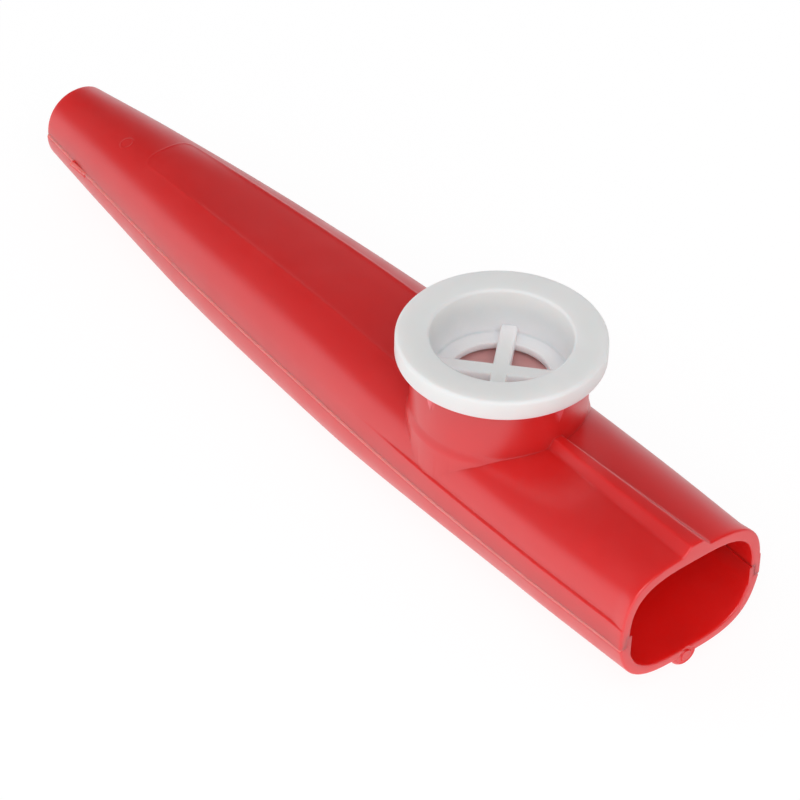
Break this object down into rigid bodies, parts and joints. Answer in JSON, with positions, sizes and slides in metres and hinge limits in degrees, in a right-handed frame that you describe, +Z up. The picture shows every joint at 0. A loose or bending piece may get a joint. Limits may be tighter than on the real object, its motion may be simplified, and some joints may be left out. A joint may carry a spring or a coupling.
{
  "type": "kazoo",
  "caption": "Moulded plastic kazoo: a tapered tube with a flattened mouthpiece end and a round turret that holds a buzzing membrane under a lift-off ring cap.",
  "frame": {"origin": "centre of the bounding box's base, under the belly's lowest point in height", "axes": "+X along the tube towards the wide mouthpiece end, +Z up through the turret, +Y across the tube"},
  "size_m": [0.12, 0.0246, 0.0274],
  "materials": {
    "shell": "moulded gloss, red",
    "cap": "moulded satin, off-white",
    "ring": "satin, ivory",
    "film": "thin milky film"
  },
  "bodies": {
    "tube": {"upper_shell": "shell", "lower_shell": "shell"},
    "cap": {"cap": "cap"},
    "membrane": {"membrane_ring": "ring", "membrane_film": "film"}
  },
  "joints": [
    {"name": "cap_lift", "type": "slide", "parent": "tube", "child": "cap", "axis": [0, 0, 1], "range_m": [0, 0.03]},
    {"name": "membrane_lift", "type": "slide", "parent": "tube", "child": "membrane", "axis": [0, 0, 1], "range_m": [0, 0.015]}
  ],
  "couplings": [
    {"joint": "membrane_lift", "follows": "cap_lift", "ratio": 0.5}
  ]
}
